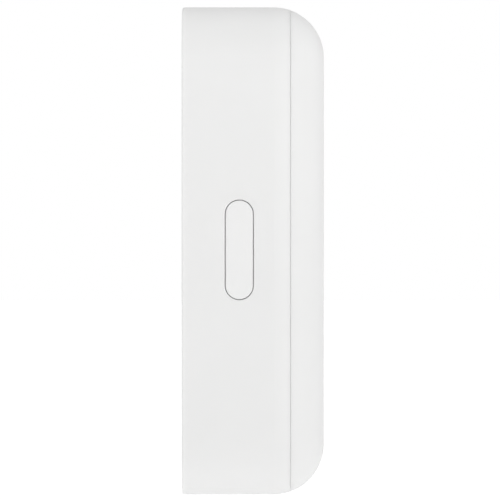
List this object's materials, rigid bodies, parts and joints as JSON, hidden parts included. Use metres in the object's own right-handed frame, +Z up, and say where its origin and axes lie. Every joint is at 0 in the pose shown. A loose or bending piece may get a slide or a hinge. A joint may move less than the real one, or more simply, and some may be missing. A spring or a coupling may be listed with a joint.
{
  "type": "video doorbell",
  "caption": "Battery video doorbell: rounded upright box on a wall rail, with a glass camera window, a lit bell button, a side button and a covered charging port.",
  "frame": {"origin": "on the wall, at the bracket's back face, behind the middle of the body", "axes": "+Z up, the front faces -Y, +Y points into the wall, X across; the side button is on -X"},
  "size_m": [0.06, 0.0349, 0.12],
  "materials": {
    "housing_plastic": "satin, finely textured",
    "cover_plastic": "satin, finely textured",
    "button_plastic": "satin",
    "bell_plastic": "satin",
    "bracket_plastic": "moulded",
    "zinc_screw": "zinc plated",
    "window_clear": "polished",
    "black_print": "gloss",
    "milky_plastic": "milky",
    "sensor_lens_plastic": "smoked",
    "silicone": "matt",
    "white_rubber": "matt",
    "foam": "open cell",
    "board_green": "solder mask",
    "board_white": "solder mask",
    "chip_black": "moulded epoxy",
    "connector_plastic": "moulded",
    "tin_plate": "tinned",
    "lamp_lens": "clear epoxy",
    "lens_glass": "coated",
    "filter_glass": "coated",
    "black_plastic": "moulded",
    "ribbon_film": "polyimide film",
    "wire_sleeve": "silicone",
    "cell_sleeve": "shrink sleeve over a steel can",
    "cradle_plastic": "moulded",
    "nickel": "strip",
    "cone_film": "film",
    "label_film": "plain"
  },
  "bodies": {
    "bracket": {"wall_bracket": "bracket_plastic"},
    "doorbell": {"rear_housing": "housing_plastic", "front_cover": "cover_plastic", "housing_seal": "silicone", "cover_screws": "zinc_screw", "terminal_block": "black_plastic", "terminal_screws": "zinc_screw", "rear_label": "label_film", "side_button_seal": "silicone", "side_switch_frame": "cradle_plastic", "side_switch": "tin_plate", "side_switch_board": "board_green", "front_window": "window_clear", "window_mask": "black_print", "camera_board": "board_green", "image_sensor": "chip_black", "lens_holder": "black_plastic", "infrared_filter": "filter_glass", "lens_barrel": "black_plastic", "front_lens": "lens_glass", "inner_lens": "lens_glass", "camera_screws": "zinc_screw", "infrared_board": "board_white", "infrared_lamps": "lamp_lens", "motion_lens": "sensor_lens_plastic", "motion_sensor": "tin_plate", "bell_light_ring": "milky_plastic", "bell_membrane": "silicone", "bell_switch": "tin_plate", "ring_lamps": "lamp_lens", "main_board": "board_green", "board_screws": "zinc_screw", "processor": "chip_black", "memory_chips": "chip_black", "radio_shield": "tin_plate", "radio_chip": "chip_black", "board_components": "chip_black", "light_guide": "lamp_lens", "board_sockets": "connector_plastic", "camera_ribbon": "ribbon_film", "inner_leads": "wire_sleeve", "microphone": "tin_plate", "microphone_boot": "silicone", "speaker_frame": "black_plastic", "speaker_magnet": "tin_plate", "speaker_cone": "cone_film", "speaker_gasket": "foam", "battery_cells": "cell_sleeve", "battery_cradle": "cradle_plastic", "battery_tabs": "nickel", "battery_board": "board_green", "charging_socket": "tin_plate", "port_board": "board_green", "port_cover_tail": "white_rubber"},
    "bell_button": {"bell_button": "bell_plastic", "bell_switch_plunger": "chip_black"},
    "side_button": {"side_button": "button_plastic", "side_switch_plunger": "chip_black"},
    "port_cover": {"port_cover": "white_rubber"},
    "lock_screw": {"lock_screw": "zinc_screw"}
  },
  "joints": [
    {"name": "doorbell_lift", "type": "slide", "parent": "bracket", "child": "doorbell", "axis": [0, 0, 1], "range_m": [0, 0.11]},
    {"name": "bell_press", "type": "slide", "parent": "doorbell", "child": "bell_button", "axis": [0, 1, 0], "range_m": [0, 0.0007], "stiffness_N_per_m": 2500},
    {"name": "side_press", "type": "slide", "parent": "doorbell", "child": "side_button", "axis": [1, 0, 0], "range_m": [0, 0.0005], "stiffness_N_per_m": 3000},
    {"name": "port_cover_swing", "type": "hinge", "parent": "doorbell", "child": "port_cover", "pos_m": [-0.0068, -0.0175, -0.0594], "axis": [0, 1, 0], "range_deg": [0, 100]},
    {"name": "lock_screw_out", "type": "slide", "parent": "bracket", "child": "lock_screw", "axis": [0, 0, -1], "range_m": [0, 0.008]}
  ]
}
